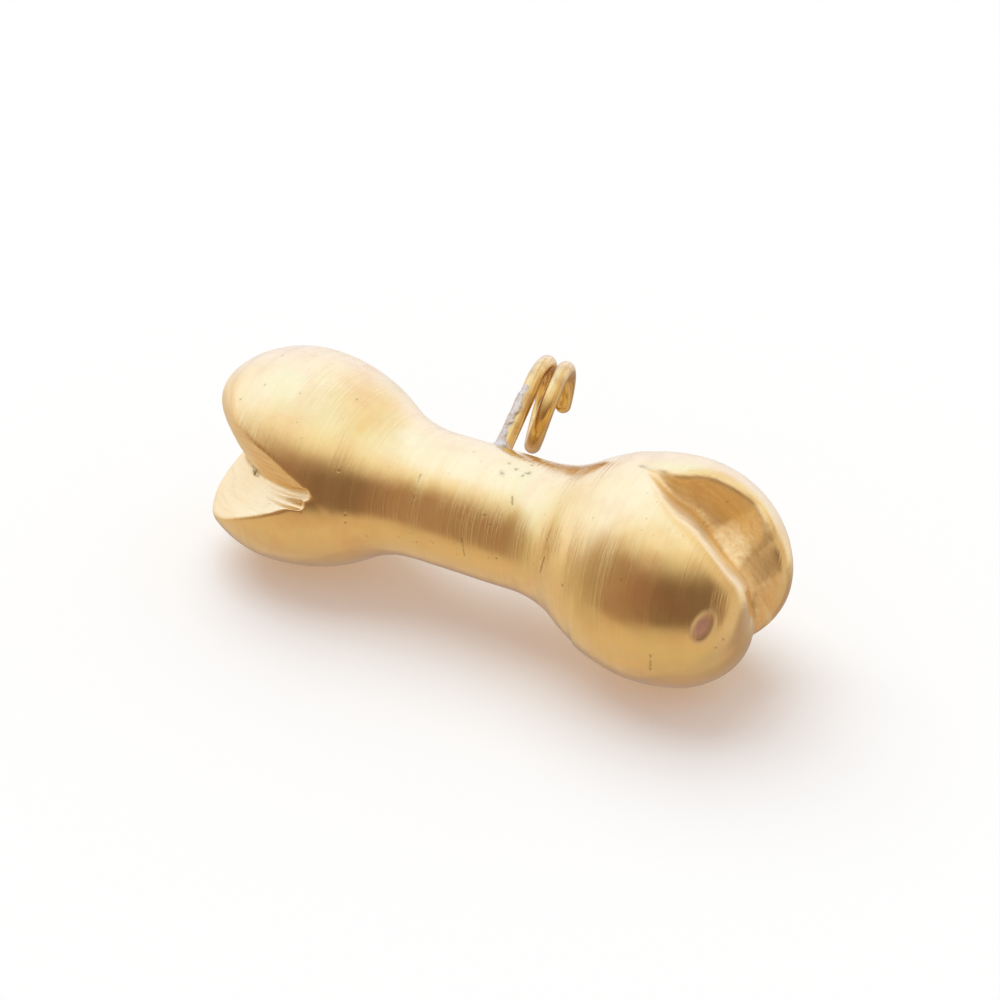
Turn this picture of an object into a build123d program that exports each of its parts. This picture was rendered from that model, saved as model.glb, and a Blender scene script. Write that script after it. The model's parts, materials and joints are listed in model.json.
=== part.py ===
from build123d import *
import math
import os

# Brass bone charm: a turned dumbbell with a filed notch across each end, and a
# bent wire eye soldered into the middle of the shaft.
# Millimetres. X runs along the bone, Y away from the viewer, Z up. The charm is
# drawn about its own long axis and then laid down on the surface it rests on.

# Bone: a straight shaft, a neck fillet, a long shoulder and a round end
bone_length = 33.2
shaft_diameter = 6.7
lobe_diameter = 11.3
neck_radius = 2.8
shoulder_radius = 9.3

# Notches, each filed along an arc that dives over the end of the bone.
# Clock is the turn about the bone from straight up, towards the viewer.
# Reach is how far from the end the file first bites, slope its dive there and veer
# its turn sideways. Shift moves the whole cut sideways. Each wall leans out by its own
# angle, is straight up to its height, and rolls over its rim to a flatter brow.
right_clock = 10.6
right_notch = dict(
    reach=8.2, slope=2.0, veer=-4.4, shift=1.18, floor_radius=6.8, floor_width=1.6,
    near_wall=62.0, near_height=0.3, near_rim=1.5, near_brow=74.0,
    far_wall=6.0, far_height=0.3, far_rim=1.9, far_brow=74.0,
)
left_clock = 78.5
left_notch = dict(
    reach=9.25, slope=12.9, veer=6.0, shift=0.1, floor_radius=11.6, floor_width=0.2,
    near_wall=58.6, near_height=0.7, near_rim=5.9, near_brow=74.0,
    far_wall=43.2, far_height=0.3, far_rim=10.0, far_brow=58.0,
)

# Wire eye: a straight stem and a turn and a half of ring
wire_diameter = 0.8
eye_inside_diameter = 3.45
eye_pitch = 1.25
eye_turn_degrees = 505.0
eye_height = 3.05
eye_twist = 20.0
stem_lean = 44.0
stem_depth = 1.8
stem_clearance = 0.03

# Solder: a sloped collar round the foot and a tongue that ran up the stem
collar_spread = 0.35
collar_lip = 0.08
tongue_height = 3.1
tongue_thickness = 0.1
tongue_edge = 0.05
tongue_tip_angle = 35.0

# Worked-out sizes
half_length = bone_length / 2
shaft_radius = shaft_diameter / 2
lobe_radius = lobe_diameter / 2
wire_radius = wire_diameter / 2
eye_radius = eye_inside_diameter / 2 + wire_radius
crown = half_length - lobe_radius


def neck_end():
    """Distance from the middle to where the straight shaft ends."""
    reach = neck_radius + shoulder_radius
    rise = shaft_radius + neck_radius - lobe_radius + shoulder_radius
    return crown - math.sqrt(reach**2 - rise**2)


def shoulder_height(x):
    """Radius of the bone at x, on the shoulder arc."""
    return lobe_radius - shoulder_radius + math.sqrt(shoulder_radius**2 - (crown - x) ** 2)


def half_profile():
    """Outline of the right half of the bone, from the middle of the axis round to it."""
    straight = neck_end()
    lean = math.degrees(math.acos(
        (shaft_radius + neck_radius - lobe_radius + shoulder_radius) / (neck_radius + shoulder_radius)
    ))
    neck = CenterArc((straight, shaft_radius + neck_radius), neck_radius, -90, lean)
    shoulder = CenterArc((crown, lobe_radius - shoulder_radius), shoulder_radius, 90 + lean, -lean)
    end = CenterArc((crown, 0), lobe_radius, 90, -90)
    return make_face(
        [
            Line((0, 0), (0, shaft_radius)),
            Line((0, shaft_radius), neck @ 0),
            neck,
            shoulder,
            end,
            Line((half_length, 0), (0, 0)),
        ]
    )


def notch_wall(side, floor_width, lean, height, rim_radius, brow_lean):
    """One side of a notch's section: the straight wall, its rolled rim and the brow above it."""
    foot = Vector(side * floor_width / 2, 0)
    wall = Line(foot, foot + Vector(side * height * math.tan(math.radians(lean)), height))
    rim = JernArc(wall @ 1, wall % 1, rim_radius, side * (lean - brow_lean))
    brow = Line(rim @ 1, rim @ 1 + (rim % 1) * lobe_diameter)
    return [wall, rim, brow]


def notch_section(
    floor_width, near_wall, near_height, near_rim, near_brow, far_wall, far_height, far_rim, far_brow
):
    """Cross-section of a notch: a floor, and two walls that roll out over the rims."""
    floor = Line((-floor_width / 2, 0), (floor_width / 2, 0))
    near = notch_wall(-1, floor_width, near_wall, near_height, near_rim, near_brow)
    far = notch_wall(1, floor_width, far_wall, far_height, far_rim, far_brow)
    lid = Line(near[-1] @ 1, far[-1] @ 1)
    return make_face([floor, *near, *far, lid])


def notch_cutter(reach, slope, veer, shift, floor_radius, **section_sizes):
    """Sweep of the file for a notch in the top of the right end."""
    dive = math.radians(slope)
    outward = Vector(math.sin(dive), 0, math.cos(dive))
    along = Vector(math.cos(dive), 0, -math.sin(dive))
    start = half_length - reach
    bite = Vector(start, shift, shoulder_height(start))
    hinge = Axis(bite - outward * floor_radius, (0, 1, 0))
    placed = Plane(bite, x_dir=(0, 1, 0), z_dir=along) * notch_section(**section_sizes)
    run_in = 20
    over_end = 120
    stroke = revolve(placed.rotate(hinge, -run_in), axis=hinge, revolution_arc=run_in + over_end)
    return stroke.rotate(Axis(bite, outward), veer)


def eye_place():
    """Frame at the foot of the stem: Z up the stem, X along the pitch of the ring."""
    return Rot(-stem_lean, 0, 0) * Pos(0, 0, shaft_radius) * Rot(0, 0, eye_twist)


def make_bone():
    half = revolve(half_profile(), axis=Axis.X)
    bone = half + mirror(half, about=Plane.YZ)
    bone -= Rot(right_clock, 0, 0) * notch_cutter(**right_notch)
    bone -= Rot(left_clock, 0, 0) * Rot(0, 0, 180) * notch_cutter(**left_notch)
    hole = Cylinder(wire_radius + stem_clearance, 2 * stem_depth)
    return bone - eye_place() * hole


def eye_point(turn):
    """Centre of the wire after a turn in degrees, and its direction there."""
    t = math.radians(turn)
    climb = eye_pitch / math.tau
    lead = math.atan2(climb, eye_radius)
    axis_dir = Vector(math.cos(lead), 0, math.sin(lead))
    rise_dir = Vector(-math.sin(lead), 0, math.cos(lead))
    back_dir = Vector(0, 1, 0)
    point = (
        Vector(0, 0, eye_height)
        + back_dir * (eye_radius * (1 - math.cos(t)))
        + rise_dir * (eye_radius * math.sin(t))
        + axis_dir * (climb * t)
    )
    heading = (
        back_dir * (eye_radius * math.sin(t)) + rise_dir * (eye_radius * math.cos(t)) + axis_dir * climb
    )
    return point, heading.normalized()


def biarc(start, start_dir, end, end_dir):
    """Two tangent arcs that carry one point and direction into another."""
    chord = end - start
    a = 2 * (start_dir.dot(end_dir) - 1)
    b = -2 * chord.dot(start_dir + end_dir)
    c = chord.dot(chord)
    arm = (-b - math.sqrt(b * b - 4 * a * c)) / (2 * a)
    first_knee = start + start_dir * arm
    second_knee = end - end_dir * arm
    middle = (first_knee + second_knee) * 0.5
    return [
        TangentArc(start, middle, tangent=start_dir),
        TangentArc(middle, end, tangent=second_knee - first_knee),
    ]


def eye_path():
    """Stem, half turns of the ring as biarcs, and a short straight cut end."""
    spans = math.ceil(eye_turn_degrees / 180)
    stations = [eye_point(eye_turn_degrees * k / spans) for k in range(spans + 1)]
    edges = [Line((0, 0, -stem_depth), stations[0][0])]
    for (start, start_dir), (end, end_dir) in zip(stations, stations[1:]):
        edges += biarc(start, start_dir, end, end_dir)
    last, last_dir = stations[-1]
    edges.append(Line(last, last + last_dir * wire_diameter))
    return Wire(edges)


def least_strand_gap(path):
    """Smallest free gap between the wire and itself, half a turn of ring or more apart."""
    step = wire_diameter / 8
    count = math.ceil(path.length / step)
    points = [path @ (k / count) for k in range(count + 1)]
    apart = math.ceil(math.pi * eye_radius / step)
    nearest = min((points[i] - points[j]).length for j in range(count + 1) for i in range(j - apart))
    return nearest - wire_diameter


def make_eye():
    path = eye_path()
    wire = sweep(Plane((0, 0, -stem_depth)) * Circle(wire_radius), path=path)
    print("wire volume over section times length", wire.volume / (math.pi * wire_radius**2 * path.length))
    print("least gap between strands", round(least_strand_gap(path), 3))
    return eye_place() * wire


def make_solder():
    foot = wire_radius + collar_spread
    top = collar_lip + collar_spread
    outline = Polyline(
        (0, -collar_spread),
        (foot, -collar_spread),
        (foot, collar_lip),
        (wire_radius, top),
        (0, top),
        close=True,
    )
    collar = revolve(Plane.XZ * make_face(outline), axis=Axis.Z)
    crescent = Pos(tongue_edge - tongue_thickness, 0) * Circle(wire_radius + tongue_edge)
    left_side = Rectangle(wire_diameter, 2 * wire_diameter, align=(Align.MAX, Align.CENTER))
    crescent = crescent & Pos(-tongue_thickness / 2, 0) * left_side
    tongue = extrude(Pos(0, 0, -collar_spread) * crescent, tongue_height + collar_spread)
    above = Box(
        4 * wire_diameter,
        4 * wire_diameter,
        2 * wire_diameter,
        align=(Align.CENTER, Align.CENTER, Align.MIN),
    )
    tip = Pos(-wire_radius, 0, tongue_height) * Rot(0, -tongue_tip_angle, 0) * above
    stem = Cylinder(wire_radius, 4 * tongue_height)
    shaft = Rot(0, 0, -eye_twist) * Rot(0, 90, 0) * Cylinder(shaft_radius, lobe_diameter)
    solder = collar + (tongue - tip) - stem - Pos(0, 0, -shaft_radius) * shaft
    return eye_place() * solder


pieces = {
    "bone_body": make_bone(),
    "hanging_loop": make_eye(),
    "solder_fillet": make_solder(),
}

# Lay the charm down: its lowest point on the surface, its box centred on the origin
box = Compound(list(pieces.values())).bounding_box()
lay_down = Pos(-box.center().X, -box.center().Y, -box.min.Z)

os.makedirs("parts", exist_ok=True)
for name, piece in pieces.items():
    export_step(lay_down * piece, f"parts/{name}.step")
print("overall size", box.size)
print("bone axis at", lay_down.position)
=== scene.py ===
"""Brass bone charm with a filed notch across each round end and a soldered wire eye."""

import json
import math

import bpy
import numpy as np
from mathutils import Matrix, Vector, noise

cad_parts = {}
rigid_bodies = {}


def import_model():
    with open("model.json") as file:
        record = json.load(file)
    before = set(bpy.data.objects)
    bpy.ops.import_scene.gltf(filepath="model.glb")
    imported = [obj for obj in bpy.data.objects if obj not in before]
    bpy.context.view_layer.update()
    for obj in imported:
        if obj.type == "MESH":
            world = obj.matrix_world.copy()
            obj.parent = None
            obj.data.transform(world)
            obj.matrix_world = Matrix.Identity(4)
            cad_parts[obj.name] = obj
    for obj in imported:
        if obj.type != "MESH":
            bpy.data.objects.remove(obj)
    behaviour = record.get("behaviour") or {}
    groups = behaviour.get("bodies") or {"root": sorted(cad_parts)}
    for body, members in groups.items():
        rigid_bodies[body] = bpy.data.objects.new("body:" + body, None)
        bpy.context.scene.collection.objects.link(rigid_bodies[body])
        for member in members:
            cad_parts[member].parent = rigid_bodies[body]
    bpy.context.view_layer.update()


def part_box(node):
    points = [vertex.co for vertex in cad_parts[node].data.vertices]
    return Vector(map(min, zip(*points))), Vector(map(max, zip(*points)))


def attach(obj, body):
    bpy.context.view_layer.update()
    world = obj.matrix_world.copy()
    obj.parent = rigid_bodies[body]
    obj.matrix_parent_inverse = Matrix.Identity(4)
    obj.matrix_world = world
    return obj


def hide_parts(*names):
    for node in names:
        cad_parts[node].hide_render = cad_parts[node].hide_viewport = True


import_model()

# The pieces are shaped in millimetres about the bone's own axis, as on the bench:
# X along the bone, Y away from the viewer, Z up. Then they are put in their place.
# The notches shorten the two ends unevenly, so the bone's middle is off its box's by the shift.
MILLIMETRE = 0.001
BONE_SHIFT = 0.000075
bone_low, bone_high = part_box("bone_body")
BONE_MIDDLE = Vector((BONE_SHIFT, (bone_low.y + bone_high.y) / 2, (bone_low.z + bone_high.z) / 2))
TO_PLACE = Matrix.Translation(BONE_MIDDLE) @ Matrix.Scale(MILLIMETRE, 4)

# Bone, as it leaves the lathe
HALF_LENGTH = 16.6
SHAFT_RADIUS = 3.35
LOBE_RADIUS = 5.65
NECK_RADIUS = 6.0
SHOULDER_RADIUS = 9.3
CROWN = HALF_LENGTH - LOBE_RADIUS
NECK_RISE = SHAFT_RADIUS + NECK_RADIUS - LOBE_RADIUS + SHOULDER_RADIUS
NECK_END = CROWN - math.sqrt((NECK_RADIUS + SHOULDER_RADIUS) ** 2 - NECK_RISE**2)
NECK_LEAN = math.acos(NECK_RISE / (NECK_RADIUS + SHOULDER_RADIUS))
NECK_TOP = NECK_END + NECK_RADIUS * math.sin(NECK_LEAN)

# Steps along the arcs of its outline and round its axis, the distances at which corners
# are joined, and the size of the skin's faces at first and in the end
LOBE_STEPS = 64
SHOULDER_STEPS = 40
NECK_STEPS = 24
SPIN_STEPS = 240
WELD = 0.0005
SEAM_WELD = 0.001
FIRST_SKIN_SIZE = 0.18
SKIN_SIZE = 0.168

# Notches, each filed along an arc that dives over the end of the bone. A wall leans
# out by its angle from its foot. Along the stroke, in millimetres, the hand wavers by
# the waver stops, and the rims are rubbed round over the widths of the rub stops. A scoop
# is a short stroke of a round file, by points along, sideways and out, and its radius there.
RIGHT_NOTCH = dict(
    clock=17.4, turn=0.0, reach=7.64, slope=15.9, veer=7.6, shift=1.05, floor_radius=8.98,
    near=dict(
        lean=48.5, foot=-0.1, rub=[(0.0, 0.3), (3.0, 1.2), (6.0, 1.2), (9.0, 5.9)],
        waver=[(0.0, 0.0), (3.0, 0.78), (6.0, 1.30), (9.0, 1.07)],
    ),
    far=dict(
        lean=16.8, foot=-0.05, rub=[(5.4, 0.3), (7.5, 2.0)],
        waver=[
            (0.0, 0.1), (0.9, 0.1), (1.9, -0.12), (3.7, 0.45), (5.2, 0.4), (7.0, -0.7), (8.5, -1.1),
        ],
    ),
    strip=dict(
        lean=60.0, foot=0.0,
        waver=[
            (0.0, 0.2), (1.8, 0.0), (3.8, 0.55), (5.0, 0.55), (7.0, -0.8), (8.2, -0.85),
            (10.5, 1.0),
        ],
    ),
    lip=0.2, floor_rub=0.5,
    scoops=[[(0.1, 0.2, -0.08, 0.05), (0.7, 0.15, 0.2, 0.1), (1.4, 0.07, 0.38, 0.02)]],
    # Painted shade: a dark line along the steep start of the far wall, by points along, sideways
    # and out
    shade_lines=[[(0.2, 0.16, -0.02), (0.7, 0.14, 0.19), (1.3, 0.07, 0.36)]],
)
LEFT_NOTCH = dict(
    clock=72.4, turn=180.0, reach=9.53, slope=10.6, veer=1.9, shift=0.64, floor_radius=13.76,
    near=dict(lean=51.8, foot=0.05, rub=[(2.8, 0.2), (7.7, 3.3)], waver=[(2.8, 0.0), (7.7, 0.33)]),
    far=dict(lean=53.9, foot=0.05, rub=[(2.8, 0.2), (8.6, 0.6)], waver=[(3.2, 0.0), (8.6, 0.55)]),
    strip=None, lip=0.0, floor_rub=0.12,
    scoops=[
        [(0.40, -0.18, 0.16, 0.25), (1.4, -0.02, 0.20, 0.24), (3.6, 0.0, 0.27, 0.22)],
        [(0.64, 0.46, 0.28, 0.30), (1.6, 0.42, 0.52, 0.32), (3.2, 0.40, 0.62, 0.30)],
        [(4.9, 0.05, -0.15, 0.12), (5.7, 0.08, -0.30, 0.22), (6.6, 0.05, -0.38, 0.12)],
    ],
    # Painted shade: a dark line along a scoop in the notch's floor, by points along, sideways and
    # out
    shade_lines=[[(5.0, 0.08, -0.2), (6.5, 0.08, -0.36)]],
)
NOTCHES = ((RIGHT_NOTCH, 1), (LEFT_NOTCH, -1))

# How the notches are shaped: where along the stroke they fade in, the turn at which they end,
# the widths over which the strip, the lip and the scoops run into what is beside them, the
# shares of the skin and of the far wall in the lip's slope, and the width of a painted shade line
NOTCH_FADE = (-1.2, -0.4)
STROKE_END = math.radians(125)
STRIP_BLEND = 0.8
LIP_BLEND = 0.35
LIP_SHARES = (0.85, 0.53)
SCOOP_BLEND = 0.12
SHADE_LINE_WIDTH = 0.13

# The rough cutters: their run-in and whole sweep, the height of their edge above the floor
CUTTER_RUN_IN = math.radians(8)
CUTTER_SWEEP = math.radians(118)
CUTTER_STEPS = 120
CUTTER_LIFT = 0.1

# A place counts as cut from the first to the second depth below the lathe's surface, and as
# off a wall from the first to the second distance. Far off is out of all reach.
CUT_DEPTHS = (0.03, 0.12)
OFF_WALL = (0.08, 0.3)
FAR_OFF = 9.0

# Grooves that the file left, as the scales of their noise along, sideways and out, and how
# strongly a paler fresh-cut colour, partly painted highlight, lies on the left notch's mouth,
# from a distance along, and on the near right wall
GROOVE_DEPTH = 0.022
BROAD_GROOVES = (0.16, 2.4, 2.4)
FINE_GROOVES = (0.35, 5.5, 5.5)
FRESH_HIGHLIGHT_FROM = (3.6, 5.6)
FRESH_HIGHLIGHT_LEFT = 0.9
FRESH_HIGHLIGHT_RIGHT = 0.8

# Wear on the bone. A spot on it is millimetres along from the middle, and degrees of
# clock from straight up towards the viewer. The dent's hollow runs out between two shares of
# its half sizes, and its rim stands at a share of them. Pits and scratches end in a width.
DENT = dict(
    spot=(14.64, 86.0), half_sizes=(0.36, 0.76), tilt=10.0, depth=0.045, hollow=(0.45, 1.1),
    rim_at=1.12, rim_width=0.16, rim_height=0.012, reach=1.0,
)
MARK_DEPTH = 0.014
PITS = [
    (1.77, 18.5, 0.13), (2.26, 9.4, 0.12), (2.96, 10.1, 0.13), (2.80, 14.5, 0.08),
    (1.64, 5.0, 0.08), (2.76, -2.2, 0.08), (1.86, 59.4, 0.06), (2.30, 66.0, 0.06),
    (0.58, 126.7, 0.06), (2.37, 95.2, 0.05), (2.84, 92.5, 0.05), (-2.14, 104.9, 0.05),
    (-1.88, 103.1, 0.05), (7.52, 82.8, 0.05), (5.81, 61.6, 0.05), (-11.94, 1.8, 0.07),
    (-9.37, 24.3, 0.06), (-12.32, 37.7, 0.06), (-11.41, 26.6, 0.06), (-6.15, 59.6, 0.05),
    (-5.61, 83.0, 0.05), (-4.75, 110.0, 0.05), (-5.61, 89.5, 0.05), (-5.62, 96.4, 0.05),
    (15.41, 99.9, 0.07), (15.13, 105.5, 0.06), (15.86, 83.4, 0.06),
]
SCRATCHES = [
    (12.51, 105.6, 12.35, 117.2, 0.05), (0.87, 83.7, 0.96, 101.2, 0.04),
    (5.94, 73.5, 5.77, 84.7, 0.05), (-2.24, 43.0, -2.13, 64.2, 0.04),
    (2.94, 37.7, 3.11, 44.3, 0.05),
]
HAND_SWELL = 0.017

# Wire eye. Across is how far the ring has moved sideways by degrees of turn, averaged over
# the ease to both sides. The cut end is rounded in steps of the tip's angle.
WIRE_RADIUS = 0.42
EYE_RADIUS = 2.125
EYE_HEIGHT = 3.38
EYE_TURN = 515.0
EYE_TWIST = 20.0
STEM_LEAN = 44.0
STEM_BEND = 5.0
STEM_DEPTH = 1.7
EYE_PITCH = 1.0
EYE_ACROSS = [
    (0, 0.0), (90, 0.25), (180, 0.33), (270, 0.85), (320, 1.08), (360, 1.12), (450, 1.22),
    (515, 1.42),
]
EYE_EASE = 40
EYE_SHIFT = -0.24
STEM_STEPS = 14
RING_STEPS = 126
TIP_STEPS = 8
TIP_ANGLE = 10.5

# Solder on the stem: its middle is the turn round the stem, in degrees, that it ran up,
# and its reach is how far round it lies to each side at heights above the foot. Its edge
# thins out over degrees, and where there is none its skin lies under the wire's.
SOLDER_HEIGHT = 3.1
SOLDER_SUNK = 0.25
SOLDER_SPARE = 0.3
SOLDER_SIDES = 96
SOLDER_RINGS = 90
SOLDER_CROWDING = 1.25
SOLDER_MIDDLE = 195.0
SOLDER_REACH = [(0.0, 95.0), (0.5, 62.0), (1.4, 70.0), (2.4, 78.0), (3.1, 55.0)]
SOLDER_RAGGED = (26, 8)
SOLDER_EDGE = 22
SOLDER_FILM = 0.07
SOLDER_LUMPS = (0.03, 0.018)
SOLDER_UNDER = 0.03
SOLDER_TAPER = 0.25
SOLDER_SPREAD = 0.12
SOLDER_FOOT = 0.16
SOLDER_BACK = 0.35


# Modelling helpers


def clear_selection():
    if bpy.context.object and bpy.context.object.mode != "OBJECT":
        bpy.ops.object.mode_set(mode="OBJECT")
    bpy.ops.object.select_all(action="DESELECT")


def pick(piece):
    """Makes one piece the selected and active one."""
    clear_selection()
    piece.select_set(True)
    bpy.context.view_layer.objects.active = piece


def trace(name, points):
    """Draws a line by adding a corner at the first point and extruding it through the others."""
    clear_selection()
    bpy.ops.mesh.primitive_plane_add(size=0.01, location=points[0])
    drawn = bpy.context.object
    drawn.name = name
    bpy.ops.object.transform_apply(location=True, rotation=True, scale=True)
    bpy.ops.object.mode_set(mode="EDIT")
    bpy.ops.mesh.select_all(action="SELECT")
    bpy.ops.mesh.merge(type="CENTER")
    for before, after in zip(points, points[1:]):
        step = Vector(after) - Vector(before)
        bpy.ops.mesh.extrude_region_move(TRANSFORM_OT_translate={"value": step})
    bpy.ops.mesh.select_all(action="SELECT")
    return drawn


def apply_modifier(piece, name, kind, **settings):
    pick(piece)
    modifier = piece.modifiers.new(name, kind)
    for key, value in settings.items():
        setattr(modifier, key, value)
    bpy.ops.object.modifier_apply(modifier=modifier.name)


def corners(piece):
    """The piece's vertices as an array of rows."""
    places = np.empty(len(piece.data.vertices) * 3)
    piece.data.vertices.foreach_get("co", places)
    return places.reshape(-1, 3)


def set_corners(piece, places):
    piece.data.vertices.foreach_set("co", places.ravel())
    piece.data.update()


def directions(piece):
    """The piece's vertex normals as an array of rows."""
    normals = np.empty(len(piece.data.vertices) * 3)
    piece.data.vertex_normals.foreach_get("vector", normals)
    return normals.reshape(-1, 3)


def close_up():
    """In edit mode, joins corners that lie together, turns the faces outward and ends the mode."""
    bpy.ops.mesh.select_all(action="SELECT")
    bpy.ops.mesh.remove_doubles(threshold=WELD)
    bpy.ops.mesh.normals_make_consistent(inside=False)
    bpy.ops.object.mode_set(mode="OBJECT")


def noise_rows(places, scales, aside=(0, 0, 0)):
    """Noise at each place, scaled and moved aside."""
    return np.array([noise.noise(Vector(row)) for row in places * scales + aside])


def ease(low, high, values):
    """Smooth step from 0 at low to 1 at high."""
    share = np.clip((np.asarray(values) - low) / (high - low), 0, 1)
    return share * share * (3 - 2 * share)


def keep_values(piece, name, values):
    attribute = piece.data.attributes.new(name, "FLOAT", "POINT")
    attribute.data.foreach_set("value", np.asarray(values, np.float32))


def keep_vectors(piece, name, rows):
    attribute = piece.data.attributes.new(name, "FLOAT_VECTOR", "POINT")
    attribute.data.foreach_set("vector", np.asarray(rows, np.float32).ravel())


def put_in_place(piece):
    """From millimetres on the bench to metres in the row frame, with the place in the mesh."""
    pick(piece)
    piece.data.transform(TO_PLACE)
    piece.data.update()
    bpy.ops.object.shade_smooth()


# Bone


def arc_points(centre, radius, start, end, count):
    """Points of an arc in the XZ plane, by angles from +X towards +Z, without its first point."""
    x, z = centre
    angles = [start + (end - start) * k / count for k in range(1, count + 1)]
    return [(x + radius * math.cos(angle), 0, z + radius * math.sin(angle)) for angle in angles]


def turned_blank():
    """The bone before filing: half its outline drawn, spun about the long axis and mirrored."""
    upright = math.pi / 2
    leaning = upright + NECK_LEAN
    outline = [(HALF_LENGTH, 0, 0)]
    shoulder_centre = (CROWN, LOBE_RADIUS - SHOULDER_RADIUS)
    neck_centre = (NECK_END, SHAFT_RADIUS + NECK_RADIUS)
    outline += arc_points((CROWN, 0), LOBE_RADIUS, 0, upright, LOBE_STEPS)
    outline += arc_points(shoulder_centre, SHOULDER_RADIUS, upright, leaning, SHOULDER_STEPS)
    outline += arc_points(neck_centre, NECK_RADIUS, NECK_LEAN - upright, -upright, NECK_STEPS)
    outline.append((0, 0, SHAFT_RADIUS))
    bone = trace("charm_bone", outline)
    bpy.ops.mesh.spin(steps=SPIN_STEPS, angle=math.tau, center=(0, 0, 0), axis=(1, 0, 0))
    bpy.ops.mesh.select_all(action="SELECT")
    bpy.ops.mesh.remove_doubles(threshold=WELD)
    bpy.ops.object.mode_set(mode="OBJECT")
    apply_modifier(
        bone, "other_half", "MIRROR", use_axis=(True, False, False), merge_threshold=SEAM_WELD
    )
    bpy.ops.object.mode_set(mode="EDIT")
    bpy.ops.mesh.select_all(action="SELECT")
    bpy.ops.mesh.normals_make_consistent(inside=False)
    bpy.ops.object.mode_set(mode="OBJECT")
    return bone


def notch_place(notch):
    """Turn that carries a notch drawn on top of the right end to its own end and clock."""
    return Matrix.Rotation(math.radians(notch["clock"]), 4, "X") @ Matrix.Rotation(
        math.radians(notch["turn"]), 4, "Z"
    )


def notch_bite(notch):
    """Where the file first bites, and the direction straight out of the bone there."""
    start = HALF_LENGTH - notch["reach"]
    dive = math.radians(notch["slope"])
    bite = Vector((start, notch["shift"], lathe_radius(start)))
    return bite, Vector((math.sin(dive), 0, math.cos(dive)))


def notch_veer(notch):
    """The file's small turn sideways about the point where it first bites."""
    bite, outward = notch_bite(notch)
    return (
        Matrix.Translation(bite)
        @ Matrix.Rotation(math.radians(notch["veer"]), 4, outward)
        @ Matrix.Translation(-bite)
    )


def notch_cutter(name, notch):
    """Sweep of a plain V file through one notch, a little inside the finished cut."""
    bite, outward = notch_bite(notch)
    hinge = bite - outward * notch["floor_radius"]
    back_turn = Matrix.Rotation(-CUTTER_RUN_IN, 3, "Y")
    top = 2 * LOBE_RADIUS
    near_top = top * math.tan(math.radians(notch["near"]["lean"])) + notch["near"]["foot"]
    far_top = top * math.tan(math.radians(notch["far"]["lean"])) + notch["far"]["foot"]
    section = []
    for across, height in ((-near_top, top), (0, CUTTER_LIFT), (far_top, top)):
        point = bite + Vector((0, across, 0)) + outward * height
        section.append(hinge + back_turn @ (point - hinge))
    cutter = trace(name, section)
    bpy.ops.mesh.edge_face_add()
    bpy.ops.mesh.spin(steps=CUTTER_STEPS, angle=-CUTTER_SWEEP, center=hinge, axis=(0, 1, 0))
    close_up()
    cutter.data.transform(notch_place(notch) @ notch_veer(notch))
    return cutter


def cut_away(piece, cutter):
    apply_modifier(
        piece, cutter.name, "BOOLEAN", operation="DIFFERENCE", solver="EXACT", object=cutter
    )
    clear_selection()
    bpy.data.objects.remove(cutter)


def depth_below_lathe(places):
    """How far each place lies under the surface that the lathe left, in millimetres."""
    along = np.abs(places[:, 0])
    out = np.hypot(places[:, 1], places[:, 2])
    round_end = LOBE_RADIUS - np.hypot(along - CROWN, out)
    shoulder = SHOULDER_RADIUS - np.hypot(along - CROWN, out - LOBE_RADIUS + SHOULDER_RADIUS)
    neck = np.hypot(along - NECK_END, SHAFT_RADIUS + NECK_RADIUS - out) - NECK_RADIUS
    shaft = SHAFT_RADIUS - out
    inner = np.where(along > NECK_END, neck, shaft)
    return np.where(along > CROWN, round_end, np.where(along > NECK_TOP, shoulder, inner))


def lathe_radius(along):
    """Radius of the turned bone at a distance from its middle."""
    along = abs(along)
    if along > CROWN:
        return math.sqrt(LOBE_RADIUS**2 - (along - CROWN) ** 2)
    if along > NECK_TOP:
        return LOBE_RADIUS - SHOULDER_RADIUS + math.sqrt(SHOULDER_RADIUS**2 - (CROWN - along) ** 2)
    if along > NECK_END:
        return SHAFT_RADIUS + NECK_RADIUS - math.sqrt(NECK_RADIUS**2 - (along - NECK_END) ** 2)
    return SHAFT_RADIUS


def spot_place(along, clock):
    """A spot on the turned surface, from its distance along and its clock in degrees."""
    radius = lathe_radius(along)
    turn = math.radians(clock)
    return np.array([along, -radius * math.sin(turn), radius * math.cos(turn)])


def distance_to_line(places, start, end):
    """Distance of each place from a straight line between two points."""
    run = end - start
    share = np.clip((places - start) @ run / max(run @ run, 1e-9), 0, 1)
    return np.linalg.norm(places - start - share[:, None] * run, axis=1)


def stroke_rows(places, notch):
    """For each place: millimetres along the file's stroke, sideways, and out from its floor."""
    bite, outward = notch_bite(notch)
    home = np.array((notch_place(notch) @ notch_veer(notch)).inverted())
    local = places @ home[:3, :3].T + home[:3, 3]
    from_hinge = local - np.array(bite - outward * notch["floor_radius"])
    out = np.hypot(from_hinge[:, 0], from_hinge[:, 2])
    turn = np.arctan2(from_hinge[:, 0], from_hinge[:, 2]) - math.radians(notch["slope"])
    turn = np.where(turn < -math.pi / 2, turn + math.tau, turn)
    return np.column_stack(
        [turn * notch["floor_radius"], local[:, 1] - notch["shift"], out - notch["floor_radius"]]
    )


def swing(stops, along):
    """A value that eases from stop to stop along the stroke."""
    value = np.full(len(along), stops[0][1], float)
    for (start, before), (end, after) in zip(stops, stops[1:]):
        value += (after - before) * ease(start, end, along)
    return value


def rounded_max(first, second, width):
    """The larger of two fields, with the corner between them rubbed round over a width."""
    near = np.clip(1 - np.abs(first - second) / width, 0, 1)
    return np.maximum(first, second) + near**3 * width / 6


def wall_field(rows, wall, side):
    """Height of each place above one wall of a notch, with the hand's waver."""
    lean = math.radians(wall["lean"])
    height = (wall["foot"] - side * rows[:, 1]) * math.cos(lean) + rows[:, 2] * math.sin(lean)
    return height + swing(wall["waver"], rows[:, 0])


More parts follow.
